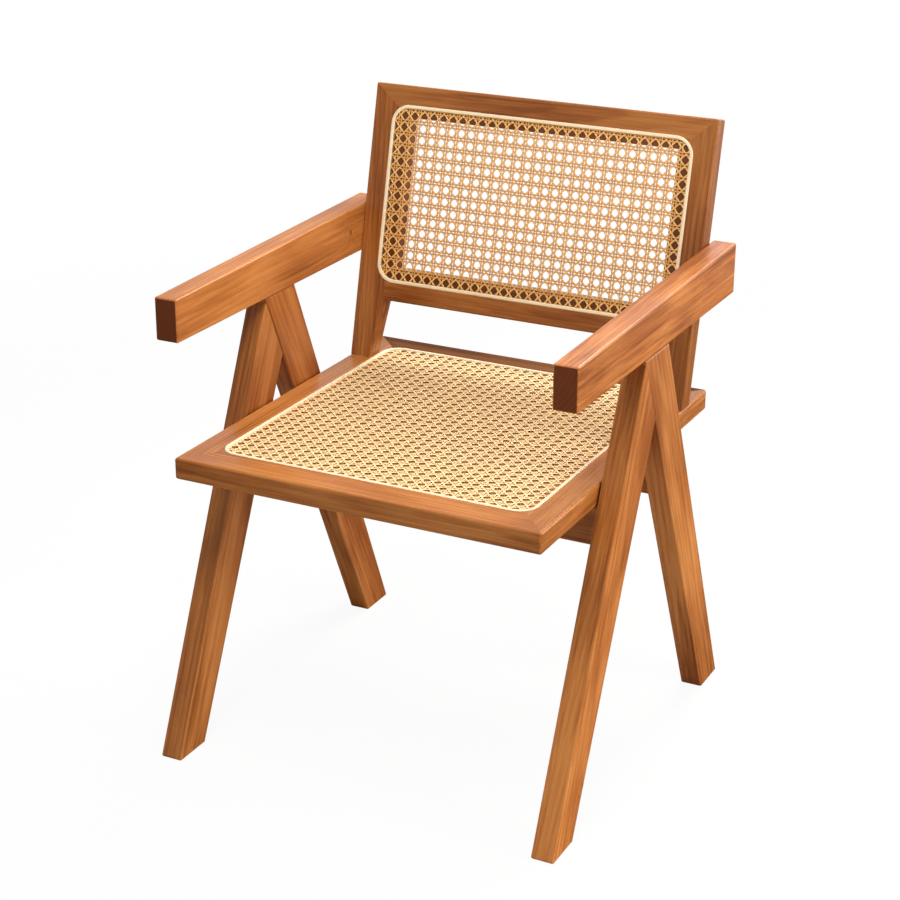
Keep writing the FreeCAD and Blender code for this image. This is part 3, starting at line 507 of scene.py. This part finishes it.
# Splines.
# Split reed, ivory and crowned, hammered into the grooves with glue over the cane's edge. The back's is in
# two lengths that meet in its bottom run.
def ivory_reed():
    reed = Finish("ivory_reed")
    spot = reed.spot()
    patch = reed.noise(spot, 60.0)
    fibre = reed.noise(spot, 700.0, 3.0, 0.7)
    colour = reed.mix(patch, (0.72, 0.56, 0.35), (0.86, 0.73, 0.52))
    colour = reed.mix((fibre - 0.45).clamped() * 0.9, colour, (0.62, 0.44, 0.23))
    return reed.finish(Base_Color=colour, Roughness=0.38 + fibre * 0.2, Normal=reed.bump(fibre, 0.2, 0.0003))


reed = ivory_reed()
for name in ("back_spline", "seat_spline"):
    dress(name, reed)


# Studio.
# A plain pale paper floor that ends in no horizon, soft square lamps, a white room that only the camera and
# mirror-like surfaces see, and the camera at the photograph's place.
floor_half = 9.0
floor_shape = bmesh.new()
bmesh.ops.create_grid(floor_shape, x_segments=1, y_segments=1, size=floor_half)
floor_mesh = bpy.data.meshes.new("floor")
floor_shape.to_mesh(floor_mesh)
floor_shape.free()
floor = bpy.data.objects.new("floor", floor_mesh)
bpy.context.scene.collection.objects.link(floor)
paper = Finish("paper")
paper.finish(Base_Color=(0.86, 0.86, 0.86, 1.0), Roughness=0.9)


def glow(under, strength, share):
    """A plain white glow laid over a shader for some of the rays."""
    white = paper.node("ShaderNodeEmission", Strength=strength)
    return paper.node("ShaderNodeMixShader", at0=share, at1=under, at2=white)


# away from the chair the paper turns plain white
off_centre = paper.node("ShaderNodeVectorMath", {"operation": "LENGTH"}, at0=paper.spot())
white_share = paper.between(off_centre, 0.9, 2.6, low=0.93, high=1.0, smooth=True)
paper_seen = paper.ray("camera").highest(paper.ray("transmission"))
bare = Socket(paper.tree, paper.shader.outputs[0])
surface = glow(glow(bare, 1.0, paper_seen * white_share), 0.03, paper.ray("glossy"))
plug(paper.tree, paper.tree.nodes["Material Output"].inputs[0], surface)
floor_mesh.materials.append(paper.material)

world = bpy.data.worlds.new("studio")
bpy.context.scene.world = world
world.use_nodes = True
sky = Recipe(world.node_tree)
soft = sky.tree.nodes["Background"]
soft.inputs["Color"].default_value = (1.0, 0.985, 0.96, 1.0)
soft.inputs["Strength"].default_value = 0.08
plain = sky.node("ShaderNodeBackground", Color=(1.0, 1.0, 1.0, 1.0), Strength=1.0)
seen = sky.ray("camera").highest(sky.ray("glossy")).highest(sky.ray("transmission"))
chosen = sky.node("ShaderNodeMixShader", at0=seen, at1=Socket(sky.tree, soft.outputs[0]), at2=plain)
plug(sky.tree, sky.tree.nodes["World Output"].inputs[0], chosen)

# each lamp's place, size, watts and colour; the large one at the right isn't mirrored, so it leaves no glare
lamps = {
    "top_rear": ((0.2, 1.3, 1.9), 1.0, 42.0, (1.0, 0.985, 0.96)),
    "top_front": ((0.2, -0.75, 1.9), 1.0, 31.0, (1.0, 0.985, 0.96)),
    "right": ((3.4, 0.2, 1.0), 1.6, 97.0, (1.0, 0.98, 0.95)),
    "right_rear": ((1.9, 2.2, 0.55), 1.0, 20.0, (1.0, 0.98, 0.95)),
}
lamp_aim = Vector((0, 0, 0.4))
for name, (place, size, watts, tint) in lamps.items():
    lamp_data = bpy.data.lights.new(name, "AREA")
    lamp_data.shape, lamp_data.size, lamp_data.energy, lamp_data.color = "SQUARE", size, watts, tint
    lamp = bpy.data.objects.new(name, lamp_data)
    bpy.context.scene.collection.objects.link(lamp)
    lamp.location = place
    lamp.visible_glossy = name != "right"
    lamp.rotation_euler = (lamp_aim - Vector(place)).to_track_quat("-Z", "Y").to_euler()

# the camera as it was fitted to the photograph: focal length and picture width in pixels, distance and aim
focal_pixels, picture_pixels, sensor_width = 2067.8, 900, 36.0
camera_distance = 2.6562
camera_aim = Vector((0.0002, 0.2602 + seat_front_y, 0.3818))
azimuth, elevation, roll = math.radians(26.738), math.radians(21.717), math.radians(0.239)
camera_data = bpy.data.cameras.new("camera")
camera_data.sensor_width = sensor_width
camera_data.lens = focal_pixels / picture_pixels * sensor_width
camera = bpy.data.objects.new("camera", camera_data)
bpy.context.scene.collection.objects.link(camera)
behind = Vector((math.sin(azimuth) * math.cos(elevation), -math.cos(azimuth) * math.cos(elevation),
                 math.sin(elevation)))
right = Vector((math.cos(azimuth), math.sin(azimuth), 0))
upward = behind.cross(right)
right, upward = (right * math.cos(roll) + upward * math.sin(roll),
                 upward * math.cos(roll) - right * math.sin(roll))
camera.location = camera_aim + behind * camera_distance
camera.rotation_euler = Matrix((right, upward, behind)).transposed().to_euler()
bpy.context.scene.camera = camera
bpy.context.scene.view_settings.view_transform = "Standard"
